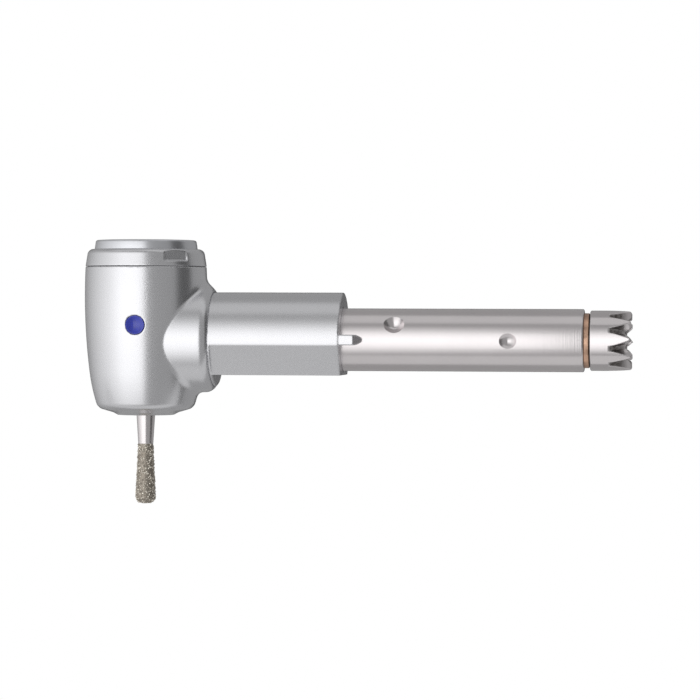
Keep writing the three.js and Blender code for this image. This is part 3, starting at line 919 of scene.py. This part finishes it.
TUBE_OUTLINE = [
    (1.9, TUBE_LOW.x),
    (2.55, TUBE_LOW.x, 0.05),
    (2.7, TUBE_LOW.x + 0.15, 0.05),
    (2.7, TUBE_HIGH.x, 0.16),
    (1.9, TUBE_HIGH.x, 0.1),
]

BUSH_OUTLINE = [
    (1.25, BUSH_HIGH.x),
    (2.35, BUSH_HIGH.x, 0.07),
    (2.35, TUBE_HIGH.x + 0.01, 0.05),
    (1.88, TUBE_HIGH.x + 0.01),
    (1.88, BUSH_LOW.x, 0.1),
    (1.25, BUSH_LOW.x, 0.05),
]

SCREW_OUTLINE = [
    (0, SCREW_LOW.x),
    (0.5, SCREW_LOW.x),
    (0.5, SCREW_SEAT),
    (1.42, SCREW_SEAT, 0.03),
    (1.42, SCREW_HIGH.x, 0.12),
    (0.8, SCREW_HIGH.x, 0.1),
    (0.8, SCREW_HIGH.x - 0.85),
    (0, SCREW_HIGH.x - 1.0),
]

# Each locating dimple: place along the tube, turn above the near side, rim radius and depth. Their bowls
# lie between a cone's, at 1, and a dish's, at 2.
DIMPLES = ((4.6, 30, 0.89, 0.6), (14.35, -1, 0.74, 0.43))
DIMPLE_BOWL = 1.8


def dimple_cutter(name, x, up, radius, depth, side):
    """A rounded drill point that stands on the tube's near or far side."""
    outline = [(radius * k / 8, depth * ((k / 8) ** DIMPLE_BOWL - 1), 0) for k in range(8)]
    outline += [(radius, 0.0, 0.12), (radius * 1.75, 0.4), (0, 0.4)]
    mesh = turned(name, outline, about="drive", sides=72)
    mesh.transform(Matrix.Rotation(math.radians(-90), 4, "Z"))
    mesh.transform(Matrix.Translation((0, -TUBE_HIGH.z * MM, 0)))
    turn = -up if side < 0 else 180 + up
    mesh.transform(Matrix.Translation((x * MM, 0, 0)) @ Matrix.Rotation(math.radians(turn), 4, "X"))
    return mesh


def cut_out(mesh, cutters):
    """A mesh with closed cutters taken out of it."""
    body = bpy.data.objects.new("blank", mesh)
    bpy.context.scene.collection.objects.link(body)
    tools = []
    for cutter in cutters:
        tool = bpy.data.objects.new("cutter", cutter)
        bpy.context.scene.collection.objects.link(tool)
        cut = body.modifiers.new("cut", "BOOLEAN")
        cut.operation = "DIFFERENCE"
        cut.solver = "EXACT"
        cut.object = tool
        tools.append(tool)
    bpy.context.view_layer.update()
    made = bpy.data.meshes.new_from_object(body.evaluated_get(bpy.context.evaluated_depsgraph_get()))
    for tool in [body, *tools]:
        bpy.data.objects.remove(tool)
    made.shade_smooth()
    made.set_sharp_from_angle(angle=SHARP_CUT)
    return made


class HANDPIECE_OT_sleeve(bpy.types.Operator):
    """Builds the neck sleeve with its flats and tongues"""

    bl_idname = "handpiece.sleeve"
    bl_label = "Neck Sleeve"

    def execute(self, context):
        field = sleeve_field(context.scene.handpiece_neck)
        mesh = skin("sleeve", field, SLEEVE_LOW, SLEEVE_HIGH)
        settle("sleeve", mesh, "head", "satin_chrome", "neck_sleeve")
        return {"FINISHED"}


class HANDPIECE_OT_tube(bpy.types.Operator):
    """Builds the shank tube with its dimples, and the bronze bush in its end"""

    bl_idname = "handpiece.tube"
    bl_label = "Shank Tube"

    def execute(self, context):
        blank = turned("tube", TUBE_OUTLINE, about="drive", sides=256)
        cutters = [dimple_cutter("dimple", *dimple, side) for dimple in DIMPLES for side in (-1, 1)]
        mesh = cut_out(blank, cutters)
        settle("tube", mesh, "head", "tube_steel", "shank_tube")
        bush = turned("tail_bush", BUSH_OUTLINE, about="drive", sides=192)
        settle("tail_bush", bush, "head", "sintered_bronze", "rear_bush")
        return {"FINISHED"}


class HANDPIECE_OT_coupling(bpy.types.Operator):
    """Builds the coupling with its pointed teeth, and the screw that holds it"""

    bl_idname = "handpiece.coupling"
    bl_label = "Drive Coupling"

    def execute(self, context):
        field = crown_field(context.scene.handpiece_neck)
        mesh = skin("crown", field, CROWN_LOW, CROWN_HIGH)
        settle("crown", mesh, "drive", "coupling_steel", "crown_coupling")
        screw = turned("hub_screw", SCREW_OUTLINE, about="drive", sides=96)
        settle("hub_screw", screw, "drive", "ground_steel", "coupling_screw")
        return {"FINISHED"}


# ---- The bur ----

SHANK_OUTLINE = [
    (0, SHANK_LOW.z),
    (0.5, SHANK_LOW.z),
    (0.5, -9.12),
    (0.655, -9.12, 0.03),
    (0.8, -6.7, 1.0),
    (0.8, SHANK_HIGH.z - 0.12),
    (0.68, SHANK_HIGH.z),
    (0, SHANK_HIGH.z),
]

COAT_OUTLINE = [
    (0.52, -9.11),
    (0.64, -9.11, 0.03),
    (0.69, -10.3, 0.5),
    (0.76, -12.0, 0.5),
    (0.845, -13.3, 0.4),
    (0.835, -13.87, 0.3),
    (0.62, -14.22, 0.3),
    (0, -14.26),
    (0, -13.885),
    (0.52, -13.885),
]


# A grain's size along its three axes, as shares of the mean: the least and the most.
GRAIN_LEAST, GRAIN_MOST = (0.5, 0.5, 0.4), (1.25, 1.1, 1.0)


def grit_tree():
    """A node tree that covers a surface with angular grains, each with a shade of its own."""
    tree = bpy.data.node_groups.new("Diamond Grit", "GeometryNodeTree")
    face = tree.interface
    for name, kind in (
        ("Geometry", "Geometry"),
        ("Density", "Float"),
        ("Grain", "Float"),
        ("Seed", "Int"),
        ("Finish", "Material"),
    ):
        face.new_socket(name, in_out="INPUT", socket_type="NodeSocket" + kind)
    face.new_socket("Geometry", in_out="OUTPUT", socket_type="NodeSocketGeometry")

    def add(kind, settings=None, *inputs, **named):
        """A node. Its sockets are given in order or by name, each as a value or as a socket to link."""
        made = tree.nodes.new(kind)
        for key, value in (settings or {}).items():
            setattr(made, key, value)
        for place, value in [*enumerate(inputs), *named.items()]:
            socket = made.inputs[place]
            if isinstance(value, bpy.types.NodeSocket):
                tree.links.new(value, socket)
            else:
                socket.default_value = value
        return made.outputs

    given = add("NodeGroupInput")
    surface, seed = given["Geometry"], given["Seed"]
    points = add(
        "GeometryNodeDistributePointsOnFaces", Mesh=surface, Density=given["Density"], Seed=seed
    )["Points"]
    grain = add("GeometryNodeMeshIcoSphere", Radius=given["Grain"], Subdivisions=1)["Mesh"]
    vector = {"data_type": "FLOAT_VECTOR"}
    turn = add("FunctionNodeRandomValue", vector, (0, 0, 0), (6.28, 6.28, 6.28), Seed=seed)[0]
    size = add("FunctionNodeRandomValue", vector, GRAIN_LEAST, GRAIN_MOST, Seed=seed)[0]
    grains = add(
        "GeometryNodeInstanceOnPoints", Points=points, Instance=grain, Rotation=turn, Scale=size
    )[0]
    shade = add("FunctionNodeRandomValue", {"data_type": "FLOAT"}, Seed=seed)[1]
    per_grain = {"data_type": "FLOAT", "domain": "INSTANCE"}
    grains = add(
        "GeometryNodeStoreNamedAttribute", per_grain, Geometry=grains, Name="grain_shade", Value=shade
    )[0]
    real = add("GeometryNodeRealizeInstances", None, grains)[0]
    whole = add("GeometryNodeJoinGeometry", None, surface)
    tree.links.new(real, whole[0].node.inputs[0])
    coat = add("GeometryNodeSetMaterial", Geometry=whole[0], Material=given["Finish"])
    add("NodeGroupOutput", None, coat[0])
    return tree


def grown(mesh, tree, **inputs):
    """A plain mesh of what a node tree makes of a mesh. Inputs are given by name."""
    host = bpy.data.objects.new("host", mesh)
    bpy.context.scene.collection.objects.link(host)
    modifier = host.modifiers.new("tree", "NODES")
    modifier.node_group = tree
    for item in tree.interface.items_tree:
        if item.item_type == "SOCKET" and item.in_out == "INPUT" and item.name in inputs:
            modifier[item.identifier] = inputs[item.name]
    bpy.context.view_layer.update()
    made = bpy.data.meshes.new_from_object(host.evaluated_get(bpy.context.evaluated_depsgraph_get()))
    bpy.data.objects.remove(host)
    return made


class HANDPIECE_OT_bur(bpy.types.Operator):
    """Builds the bur's ground shank and its diamond-coated end"""

    bl_idname = "handpiece.bur"
    bl_label = "Diamond Bur"

    def execute(self, context):
        sizes = context.scene.handpiece_bur
        shank = turned("bur_stem", SHANK_OUTLINE, sides=128)
        settle("bur_stem", shank, "bur", "bur_steel", "bur_shank")
        bond = turned("bur_grit", COAT_OUTLINE, sides=96)
        grit = grown(
            bond,
            grit_tree(),
            Density=sizes.grains_per_area / MM**2,
            Grain=sizes.grain,
            Seed=sizes.seed,
            Finish=finish("bonded_grit"),
        )
        settle("bur_grit", grit, "bur", "bonded_grit", "bur_diamond_coating")
        return {"FINISHED"}


# ---- Inner pieces, and frame nodes that keep their own shape ----

NODE_FINISHES = {
    "satin_steel": "satin_chrome",
    "polished_steel": "bright_steel",
    "hard_steel": "ground_steel",
    "spring_steel": "ground_steel",
    "bronze": "sintered_bronze",
    "black_rubber": "seal_rubber",
    "cage_polymer": "cage_resin",
    "blue_enamel": "dot_enamel",
    "diamond_grit": "bonded_grit",
}


class HANDPIECE_OT_inner(bpy.types.Operator):
    """Gives each frame node the finish of its material slot"""

    bl_idname = "handpiece.inner"
    bl_label = "Inner Pieces"

    def execute(self, context):
        slots = {part["node"]: part["material_slot"] for part in frame["record"]["subparts"]}
        for name, node in frame["nodes"].items():
            node.data.materials.clear()
            node.data.materials.append(finish(NODE_FINISHES[slots[name]]))
        return {"FINISHED"}


# ---- Camera, floor and light ----

FLOOR_HEIGHT, FLOOR_LOW, FLOOR_HIGH = -0.3, (-1.5, -1.5), (1.5, 1)
# The curved diffuser: its ends right of the front in degrees, its radius and half its height in metres, and
# the angle above level where its light has faded.
WALL_ENDS, WALL_RADIUS, WALL_HALF, WALL_REACH = (-135, 6), 0.5, 0.75, 36
# Flat cards: direction right of the front and above level, distance, width, height and brightness.
CARDS = {
    "ceiling": (-7, 82, 0.6, 1.2, 0.39, 0.64),
    "floor_bounce": (0, -79, 0.15, 1.0, 0.115, 0.66),
    "right_flag": (87, 0, 0.5, 0.31, 0.8, 0.1),
    "dark_back": (187, 0, 0.6, 0.48, 0.4, 0.06),
}


def panel(name, mesh, material, reflected=True, seen=False):
    """A piece of the studio, which shows in reflections or to the camera."""
    mesh.materials.clear()
    mesh.materials.append(material)
    made = bpy.data.objects.new(name, mesh)
    made.visible_camera = seen
    for ray in ("diffuse", "glossy", "transmission", "shadow", "volume_scatter"):
        setattr(made, f"visible_{ray}", reflected)
    bpy.context.scene.collection.objects.link(made)
    return made


def rectangle(name, low, high, height=0.0):
    """A level rectangle between two corners."""
    (x0, y0), (x1, y1) = low, high
    corners = [(x0, y0, height), (x1, y0, height), (x1, y1, height), (x0, y1, height)]
    return new_mesh(name, corners, [(0, 1, 2, 3)])


def card(name, azimuth, elevation, distance, width, height, brightness):
    """A flat card that faces the object and gives an even light."""
    away = toward(azimuth, elevation)
    mesh = rectangle(name, (-width / 2, -height / 2), (width / 2, height / 2))
    facing = (-away).to_track_quat("Z", "Y").to_matrix().to_4x4()
    mesh.transform(Matrix.Translation(away * distance) @ facing)
    return panel(name, mesh, glow(name, brightness))


def curved_wall(name, steps=48):
    """A wall that curves round the object, between two angles right of the front."""
    start, end = WALL_ENDS
    points = []
    for k in range(steps + 1):
        away = toward(start + (end - start) * k / steps, 0) * WALL_RADIUS
        points += [(away.x, away.y, -WALL_HALF), (away.x, away.y, WALL_HALF)]
    faces = [(2 * k, 2 * k + 1, 2 * k + 3, 2 * k + 2) for k in range(steps)]
    return new_mesh(name, points, faces)


def glow(name, brightness):
    """An even light of some brightness."""
    return Paint(name).light(brightness)


def diffuser_glow(ambient):
    """Cloth lit from behind: brightest beside the camera, fading to its far end, its top and its bottom."""
    paint = Paint("diffuser_cloth")
    x, y, z = paint.axes()
    angle = paint.math("ARCTAN2", x, y * -1)
    lamp = paint.ramp(angle, math.radians(WALL_ENDS[0]), math.radians(-45), 0.04, 0.96)
    core = paint.ramp(angle, math.radians(-62), math.radians(-30), 0, 0.2, "SMOOTHSTEP")
    off = z / (WALL_RADIUS * math.tan(math.radians(WALL_REACH)))
    above = paint.math("MAXIMUM", off, 0)
    below = paint.math("MINIMUM", off, 0) * 0.82
    fall = paint.math("EXPONENT", (above * above + below * below) * -1)
    return paint.light((lamp + core) * fall + ambient)


def toward(azimuth, elevation):
    """The direction from the object at an angle right of the front and above level, in degrees."""
    a, e = math.radians(azimuth), math.radians(elevation)
    return Vector((math.sin(a) * math.cos(e), -math.cos(a) * math.cos(e), math.sin(e)))


class HANDPIECE_OT_stage(bpy.types.Operator):
    """Sets up the camera, the pale floor and backdrop, and the soft studio light"""

    bl_idname = "handpiece.stage"
    bl_label = "Studio"

    def execute(self, context):
        scene = context.scene
        studio = scene.handpiece_studio
        self.camera(scene, studio)
        self.surroundings(scene, studio)
        self.lights(studio)
        return {"FINISHED"}

    def camera(self, scene, studio):
        data = bpy.data.cameras.new("camera")
        data.lens = data.sensor_width * studio.distance / studio.view_width
        data.clip_start = 0.01
        data.clip_end = 20
        camera = bpy.data.objects.new("camera", data)
        scene.collection.objects.link(camera)
        away = toward(math.degrees(studio.azimuth), math.degrees(studio.elevation))
        turn = away.to_track_quat("Z", "Y").to_matrix().to_4x4()
        centre = Vector((studio.view_x, 0, studio.view_z))
        place = Matrix.Translation(centre + away * studio.distance)
        camera.matrix_world = place @ turn @ Matrix.Rotation(studio.roll, 4, "Z")
        scene.camera = camera

    def surroundings(self, scene, studio):
        scene.view_settings.view_transform = "Standard"
        world = bpy.data.worlds.new("studio")
        world.use_nodes = True
        tree = world.node_tree
        seen = tree.nodes["Background"]
        seen.inputs["Color"].default_value = (1, 1, 1, 1)
        grey = tree.nodes.new("ShaderNodeBackground")
        grey.inputs["Color"].default_value = (studio.ambient, studio.ambient, studio.ambient, 1)
        rays = tree.nodes.new("ShaderNodeLightPath")
        either = tree.nodes.new("ShaderNodeMixShader")
        tree.links.new(rays.outputs["Is Camera Ray"], either.inputs[0])
        tree.links.new(grey.outputs[0], either.inputs[1])
        tree.links.new(seen.outputs[0], either.inputs[2])
        tree.links.new(either.outputs[0], tree.nodes["World Output"].inputs[0])
        scene.world = world
        floor = rectangle("floor", FLOOR_LOW, FLOOR_HIGH, FLOOR_HEIGHT)
        panel("floor", floor, glow("pale_floor", 0.9), reflected=False, seen=True)

    def lights(self, studio):
        panel("diffuser", curved_wall("diffuser"), diffuser_glow(studio.ambient))
        for name, card_sizes in CARDS.items():
            card(name, *card_sizes)


class HANDPIECE_PT_panel(bpy.types.Panel):
    bl_label = "Handpiece Head"
    bl_idname = "HANDPIECE_PT_panel"
    bl_space_type = "VIEW_3D"
    bl_region_type = "UI"
    bl_category = "Handpiece"

    def draw(self, context):
        for operator in OPERATORS:
            self.layout.operator(operator.bl_idname)
        for group in GROUPS:
            box = self.layout.box()
            settings = getattr(context.scene, group)
            for name in settings.__annotations__:
                box.prop(settings, name)


GROUPS = {
    "handpiece_head": HeadSizes,
    "handpiece_neck": NeckSizes,
    "handpiece_bur": BurSizes,
    "handpiece_colours": FinishColours,
    "handpiece_studio": StudioSettings,
}

OPERATORS = (
    HANDPIECE_OT_stage,
    HANDPIECE_OT_inner,
    HANDPIECE_OT_casing,
    HANDPIECE_OT_cap,
    HANDPIECE_OT_dot,
    HANDPIECE_OT_sleeve,
    HANDPIECE_OT_tube,
    HANDPIECE_OT_coupling,
    HANDPIECE_OT_bur,
)


def register():
    for cls in (*GROUPS.values(), *OPERATORS, HANDPIECE_PT_panel):
        bpy.utils.register_class(cls)
    for name, cls in GROUPS.items():
        setattr(bpy.types.Scene, name, bpy.props.PointerProperty(type=cls))


def unregister():
    for name in GROUPS:
        delattr(bpy.types.Scene, name)
    for cls in (HANDPIECE_PT_panel, *reversed(OPERATORS), *reversed(GROUPS.values())):
        bpy.utils.unregister_class(cls)


def main():
    register()
    for operator in OPERATORS:
        group, name = operator.bl_idname.split(".")
        getattr(getattr(bpy.ops, group), name)()


if __name__ == "__main__":
    main()
